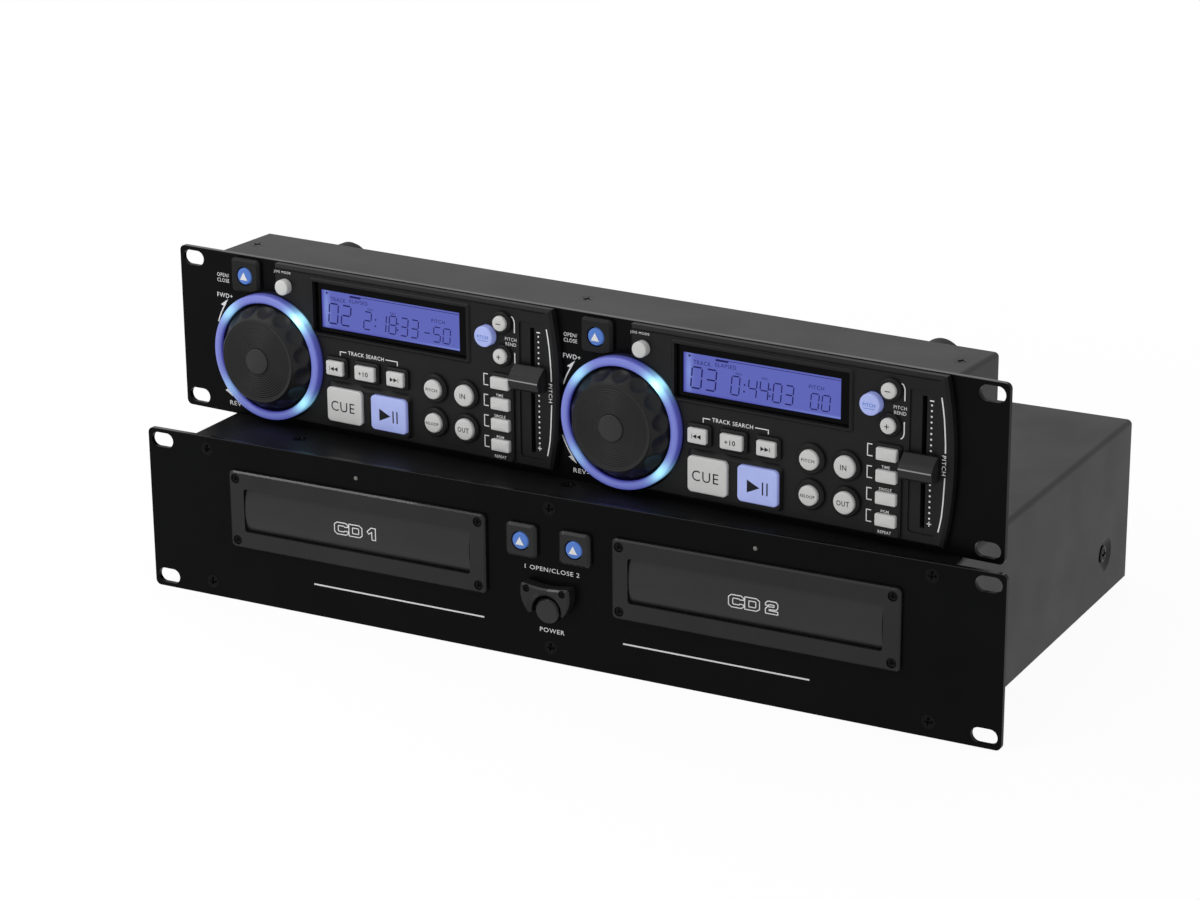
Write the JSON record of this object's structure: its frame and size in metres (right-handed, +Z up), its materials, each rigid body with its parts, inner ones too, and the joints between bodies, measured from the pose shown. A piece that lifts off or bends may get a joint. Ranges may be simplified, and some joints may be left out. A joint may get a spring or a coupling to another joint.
{
  "type": "dual cd player for dj",
  "caption": "Rack-mount disc player with slide-out trays and its remote deck controller with jog wheels, displays, push buttons and pitch faders standing on top.",
  "frame": {"origin": "on the standing surface, under the middle of the player's width and of the whole depth", "axes": "+X to the right seen from the front, +Y to the rear, +Z up"},
  "size_m": [0.4875, 0.2606, 0.1766],
  "materials": {
    "panel_paint": "satin black paint",
    "housing_paint": "fine matt black powder coat",
    "dark_moulding": "satin dark grey moulding",
    "tray_plastic": "satin dark grey",
    "turntable_plastic": "matt black",
    "drive_frame": "matt black",
    "circuit_board": "green solder mask",
    "foot_rubber": "matt",
    "light_guide": "lit frosted blue",
    "display_glass": "lit blue behind clear glass",
    "wheel_plastic": "satin dark grey",
    "knob_plastic": "satin dark grey",
    "blue_key": "blue",
    "power_key": "satin",
    "grey_key": "satin light grey"
  },
  "bodies": {
    "player": {"player_front_panel": "panel_paint", "player_chassis": "housing_paint", "player_cover": "housing_paint", "player_trim": "dark_moulding", "player_boards": "circuit_board", "disc_drives": "drive_frame"},
    "controller": {"controller_front_panel": "panel_paint", "controller_case": "housing_paint", "controller_feet": "foot_rubber", "controller_board": "circuit_board", "deck_mouldings": "dark_moulding", "jog_light_rings": "light_guide", "display_units": "display_glass"},
    "disc_tray_1": {"disc_tray_1": "tray_plastic"},
    "disc_spindle_1": {"disc_spindle_1": "turntable_plastic"},
    "player_eject_button_1": {"player_eject_button_1": "blue_key"},
    "disc_tray_2": {"disc_tray_2": "tray_plastic"},
    "disc_spindle_2": {"disc_spindle_2": "turntable_plastic"},
    "player_eject_button_2": {"player_eject_button_2": "blue_key"},
    "power_button": {"power_button": "power_key"},
    "deck_1_jog_wheel": {"deck_1_jog_wheel": "wheel_plastic"},
    "deck_1_pitch_fader": {"deck_1_pitch_fader": "knob_plastic"},
    "deck_1_bend_minus_button": {"deck_1_bend_minus_button": "grey_key"},
    "deck_1_bend_plus_button": {"deck_1_bend_plus_button": "grey_key"},
    "deck_1_cue_button": {"deck_1_cue_button": "grey_key"},
    "deck_1_eject_button": {"deck_1_eject_button": "blue_key"},
    "deck_1_jog_mode_button": {"deck_1_jog_mode_button": "grey_key"},
    "deck_1_loop_in_button": {"deck_1_loop_in_button": "grey_key"},
    "deck_1_loop_out_button": {"deck_1_loop_out_button": "grey_key"},
    "deck_1_pitch_bend_button": {"deck_1_pitch_bend_button": "blue_key"},
    "deck_1_pitch_button": {"deck_1_pitch_button": "grey_key"},
    "deck_1_play_pause_button": {"deck_1_play_pause_button": "grey_key"},
    "deck_1_plus_ten_button": {"deck_1_plus_ten_button": "grey_key"},
    "deck_1_program_button": {"deck_1_program_button": "grey_key"},
    "deck_1_reloop_button": {"deck_1_reloop_button": "grey_key"},
    "deck_1_repeat_button": {"deck_1_repeat_button": "grey_key"},
    "deck_1_search_back_button": {"deck_1_search_back_button": "grey_key"},
    "deck_1_search_forward_button": {"deck_1_search_forward_button": "grey_key"},
    "deck_1_single_button": {"deck_1_single_button": "grey_key"},
    "deck_1_time_button": {"deck_1_time_button": "grey_key"},
    "deck_2_jog_wheel": {"deck_2_jog_wheel": "wheel_plastic"},
    "deck_2_pitch_fader": {"deck_2_pitch_fader": "knob_plastic"},
    "deck_2_bend_minus_button": {"deck_2_bend_minus_button": "grey_key"},
    "deck_2_bend_plus_button": {"deck_2_bend_plus_button": "grey_key"},
    "deck_2_cue_button": {"deck_2_cue_button": "grey_key"},
    "deck_2_eject_button": {"deck_2_eject_button": "blue_key"},
    "deck_2_jog_mode_button": {"deck_2_jog_mode_button": "grey_key"},
    "deck_2_loop_in_button": {"deck_2_loop_in_button": "grey_key"},
    "deck_2_loop_out_button": {"deck_2_loop_out_button": "grey_key"},
    "deck_2_pitch_bend_button": {"deck_2_pitch_bend_button": "blue_key"},
    "deck_2_pitch_button": {"deck_2_pitch_button": "grey_key"},
    "deck_2_play_pause_button": {"deck_2_play_pause_button": "grey_key"},
    "deck_2_plus_ten_button": {"deck_2_plus_ten_button": "grey_key"},
    "deck_2_program_button": {"deck_2_program_button": "grey_key"},
    "deck_2_reloop_button": {"deck_2_reloop_button": "grey_key"},
    "deck_2_repeat_button": {"deck_2_repeat_button": "grey_key"},
    "deck_2_search_back_button": {"deck_2_search_back_button": "grey_key"},
    "deck_2_search_forward_button": {"deck_2_search_forward_button": "grey_key"},
    "deck_2_single_button": {"deck_2_single_button": "grey_key"},
    "deck_2_time_button": {"deck_2_time_button": "grey_key"}
  },
  "joints": [
    {"name": "controller_lift", "type": "slide", "parent": "player", "child": "controller", "axis": [0, 0, 1], "range_m": [0, 0.12]},
    {"name": "disc_tray_1_slide", "type": "slide", "parent": "player", "child": "disc_tray_1", "axis": [0, -1, 0], "range_m": [0, 0.132]},
    {"name": "disc_spindle_1_turn", "type": "hinge", "parent": "player", "child": "disc_spindle_1", "pos_m": [-0.1128, -0.05425, 0.0473], "axis": [0, 0, 1], "continuous": true},
    {"name": "player_eject_button_1_press", "type": "slide", "parent": "player", "child": "player_eject_button_1", "axis": [0, 1, 0], "range_m": [0, 0.0008], "stiffness_N_per_m": 150, "springref_m": -0.002},
    {"name": "disc_tray_2_slide", "type": "slide", "parent": "player", "child": "disc_tray_2", "axis": [0, -1, 0], "range_m": [0, 0.132]},
    {"name": "disc_spindle_2_turn", "type": "hinge", "parent": "player", "child": "disc_spindle_2", "pos_m": [0.1128, -0.05425, 0.0473], "axis": [0, 0, 1], "continuous": true},
    {"name": "player_eject_button_2_press", "type": "slide", "parent": "player", "child": "player_eject_button_2", "axis": [0, 1, 0], "range_m": [0, 0.0008], "stiffness_N_per_m": 150, "springref_m": -0.002},
    {"name": "power_button_press", "type": "slide", "parent": "player", "child": "power_button", "axis": [0, 1, 0], "range_m": [0, 0.0026], "stiffness_N_per_m": 150, "springref_m": -0.002},
    {"name": "deck_1_jog_wheel_turn", "type": "hinge", "parent": "controller", "child": "deck_1_jog_wheel", "pos_m": [-0.18511, -0.08457, 0.1255], "axis": [-0.0654, -0.9979, 0], "continuous": true},
    {"name": "deck_1_pitch_fader_slide", "type": "slide", "parent": "controller", "child": "deck_1_pitch_fader", "axis": [0, 0, 1], "range_m": [-0.0352, 0.0208]},
    {"name": "deck_1_bend_minus_button_press", "type": "slide", "parent": "controller", "child": "deck_1_bend_minus_button", "axis": [0.0654, 0.9979, 0], "range_m": [0, 0.0008], "stiffness_N_per_m": 150, "springref_m": -0.002},
    {"name": "deck_1_bend_plus_button_press", "type": "slide", "parent": "controller", "child": "deck_1_bend_plus_button", "axis": [0.0654, 0.9979, 0], "range_m": [0, 0.0008], "stiffness_N_per_m": 150, "springref_m": -0.002},
    {"name": "deck_1_cue_button_press", "type": "slide", "parent": "controller", "child": "deck_1_cue_button", "axis": [0.0654, 0.9979, 0], "range_m": [0, 0.0008], "stiffness_N_per_m": 150, "springref_m": -0.002},
    {"name": "deck_1_eject_button_press", "type": "slide", "parent": "controller", "child": "deck_1_eject_button", "axis": [0.0654, 0.9979, 0], "range_m": [0, 0.0008], "stiffness_N_per_m": 150, "springref_m": -0.002},
    {"name": "deck_1_jog_mode_button_press", "type": "slide", "parent": "controller", "child": "deck_1_jog_mode_button", "axis": [0.0654, 0.9979, 0], "range_m": [0, 0.0008], "stiffness_N_per_m": 150, "springref_m": -0.002},
    {"name": "deck_1_loop_in_button_press", "type": "slide", "parent": "controller", "child": "deck_1_loop_in_button", "axis": [0.0654, 0.9979, 0], "range_m": [0, 0.0008], "stiffness_N_per_m": 150, "springref_m": -0.002},
    {"name": "deck_1_loop_out_button_press", "type": "slide", "parent": "controller", "child": "deck_1_loop_out_button", "axis": [0.0654, 0.9979, 0], "range_m": [0, 0.0008], "stiffness_N_per_m": 150, "springref_m": -0.002},
    {"name": "deck_1_pitch_bend_button_press", "type": "slide", "parent": "controller", "child": "deck_1_pitch_bend_button", "axis": [0.0654, 0.9979, 0], "range_m": [0, 0.0008], "stiffness_N_per_m": 150, "springref_m": -0.002},
    {"name": "deck_1_pitch_button_press", "type": "slide", "parent": "controller", "child": "deck_1_pitch_button", "axis": [0.0654, 0.9979, 0], "range_m": [0, 0.0008], "stiffness_N_per_m": 150, "springref_m": -0.002},
    {"name": "deck_1_play_pause_button_press", "type": "slide", "parent": "controller", "child": "deck_1_play_pause_button", "axis": [0.0654, 0.9979, 0], "range_m": [0, 0.0008], "stiffness_N_per_m": 150, "springref_m": -0.002},
    {"name": "deck_1_plus_ten_button_press", "type": "slide", "parent": "controller", "child": "deck_1_plus_ten_button", "axis": [0.0654, 0.9979, 0], "range_m": [0, 0.0008], "stiffness_N_per_m": 150, "springref_m": -0.002},
    {"name": "deck_1_program_button_press", "type": "slide", "parent": "controller", "child": "deck_1_program_button", "axis": [0.0654, 0.9979, 0], "range_m": [0, 0.0008], "stiffness_N_per_m": 150, "springref_m": -0.002},
    {"name": "deck_1_reloop_button_press", "type": "slide", "parent": "controller", "child": "deck_1_reloop_button", "axis": [0.0654, 0.9979, 0], "range_m": [0, 0.0008], "stiffness_N_per_m": 150, "springref_m": -0.002},
    {"name": "deck_1_repeat_button_press", "type": "slide", "parent": "controller", "child": "deck_1_repeat_button", "axis": [0.0654, 0.9979, 0], "range_m": [0, 0.0008], "stiffness_N_per_m": 150, "springref_m": -0.002},
    {"name": "deck_1_search_back_button_press", "type": "slide", "parent": "controller", "child": "deck_1_search_back_button", "axis": [0.0654, 0.9979, 0], "range_m": [0, 0.0008], "stiffness_N_per_m": 150, "springref_m": -0.002},
    {"name": "deck_1_search_forward_button_press", "type": "slide", "parent": "controller", "child": "deck_1_search_forward_button", "axis": [0.0654, 0.9979, 0], "range_m": [0, 0.0008], "stiffness_N_per_m": 150, "springref_m": -0.002},
    {"name": "deck_1_single_button_press", "type": "slide", "parent": "controller", "child": "deck_1_single_button", "axis": [0.0654, 0.9979, 0], "range_m": [0, 0.0008], "stiffness_N_per_m": 150, "springref_m": -0.002},
    {"name": "deck_1_time_button_press", "type": "slide", "parent": "controller", "child": "deck_1_time_button", "axis": [0.0654, 0.9979, 0], "range_m": [0, 0.0008], "stiffness_N_per_m": 150, "springref_m": -0.002},
    {"name": "deck_2_jog_wheel_turn", "type": "hinge", "parent": "controller", "child": "deck_2_jog_wheel", "pos_m": [0.03112, -0.09874, 0.1255], "axis": [-0.0654, -0.9979, 0], "continuous": true},
    {"name": "deck_2_pitch_fader_slide", "type": "slide", "parent": "controller", "child": "deck_2_pitch_fader", "axis": [0, 0, 1], "range_m": [-0.0264, 0.0296]},
    {"name": "deck_2_bend_minus_button_press", "type": "slide", "parent": "controller", "child": "deck_2_bend_minus_button", "axis": [0.0654, 0.9979, 0], "range_m": [0, 0.0008], "stiffness_N_per_m": 150, "springref_m": -0.002},
    {"name": "deck_2_bend_plus_button_press", "type": "slide", "parent": "controller", "child": "deck_2_bend_plus_button", "axis": [0.0654, 0.9979, 0], "range_m": [0, 0.0008], "stiffness_N_per_m": 150, "springref_m": -0.002},
    {"name": "deck_2_cue_button_press", "type": "slide", "parent": "controller", "child": "deck_2_cue_button", "axis": [0.0654, 0.9979, 0], "range_m": [0, 0.0008], "stiffness_N_per_m": 150, "springref_m": -0.002},
    {"name": "deck_2_eject_button_press", "type": "slide", "parent": "controller", "child": "deck_2_eject_button", "axis": [0.0654, 0.9979, 0], "range_m": [0, 0.0008], "stiffness_N_per_m": 150, "springref_m": -0.002},
    {"name": "deck_2_jog_mode_button_press", "type": "slide", "parent": "controller", "child": "deck_2_jog_mode_button", "axis": [0.0654, 0.9979, 0], "range_m": [0, 0.0008], "stiffness_N_per_m": 150, "springref_m": -0.002},
    {"name": "deck_2_loop_in_button_press", "type": "slide", "parent": "controller", "child": "deck_2_loop_in_button", "axis": [0.0654, 0.9979, 0], "range_m": [0, 0.0008], "stiffness_N_per_m": 150, "springref_m": -0.002},
    {"name": "deck_2_loop_out_button_press", "type": "slide", "parent": "controller", "child": "deck_2_loop_out_button", "axis": [0.0654, 0.9979, 0], "range_m": [0, 0.0008], "stiffness_N_per_m": 150, "springref_m": -0.002},
    {"name": "deck_2_pitch_bend_button_press", "type": "slide", "parent": "controller", "child": "deck_2_pitch_bend_button", "axis": [0.0654, 0.9979, 0], "range_m": [0, 0.0008], "stiffness_N_per_m": 150, "springref_m": -0.002},
    {"name": "deck_2_pitch_button_press", "type": "slide", "parent": "controller", "child": "deck_2_pitch_button", "axis": [0.0654, 0.9979, 0], "range_m": [0, 0.0008], "stiffness_N_per_m": 150, "springref_m": -0.002},
    {"name": "deck_2_play_pause_button_press", "type": "slide", "parent": "controller", "child": "deck_2_play_pause_button", "axis": [0.0654, 0.9979, 0], "range_m": [0, 0.0008], "stiffness_N_per_m": 150, "springref_m": -0.002},
    {"name": "deck_2_plus_ten_button_press", "type": "slide", "parent": "controller", "child": "deck_2_plus_ten_button", "axis": [0.0654, 0.9979, 0], "range_m": [0, 0.0008], "stiffness_N_per_m": 150, "springref_m": -0.002},
    {"name": "deck_2_program_button_press", "type": "slide", "parent": "controller", "child": "deck_2_program_button", "axis": [0.0654, 0.9979, 0], "range_m": [0, 0.0008], "stiffness_N_per_m": 150, "springref_m": -0.002},
    {"name": "deck_2_reloop_button_press", "type": "slide", "parent": "controller", "child": "deck_2_reloop_button", "axis": [0.0654, 0.9979, 0], "range_m": [0, 0.0008], "stiffness_N_per_m": 150, "springref_m": -0.002},
    {"name": "deck_2_repeat_button_press", "type": "slide", "parent": "controller", "child": "deck_2_repeat_button", "axis": [0.0654, 0.9979, 0], "range_m": [0, 0.0008], "stiffness_N_per_m": 150, "springref_m": -0.002},
    {"name": "deck_2_search_back_button_press", "type": "slide", "parent": "controller", "child": "deck_2_search_back_button", "axis": [0.0654, 0.9979, 0], "range_m": [0, 0.0008], "stiffness_N_per_m": 150, "springref_m": -0.002},
    {"name": "deck_2_search_forward_button_press", "type": "slide", "parent": "controller", "child": "deck_2_search_forward_button", "axis": [0.0654, 0.9979, 0], "range_m": [0, 0.0008], "stiffness_N_per_m": 150, "springref_m": -0.002},
    {"name": "deck_2_single_button_press", "type": "slide", "parent": "controller", "child": "deck_2_single_button", "axis": [0.0654, 0.9979, 0], "range_m": [0, 0.0008], "stiffness_N_per_m": 150, "springref_m": -0.002},
    {"name": "deck_2_time_button_press", "type": "slide", "parent": "controller", "child": "deck_2_time_button", "axis": [0.0654, 0.9979, 0], "range_m": [0, 0.0008], "stiffness_N_per_m": 150, "springref_m": -0.002}
  ]
}
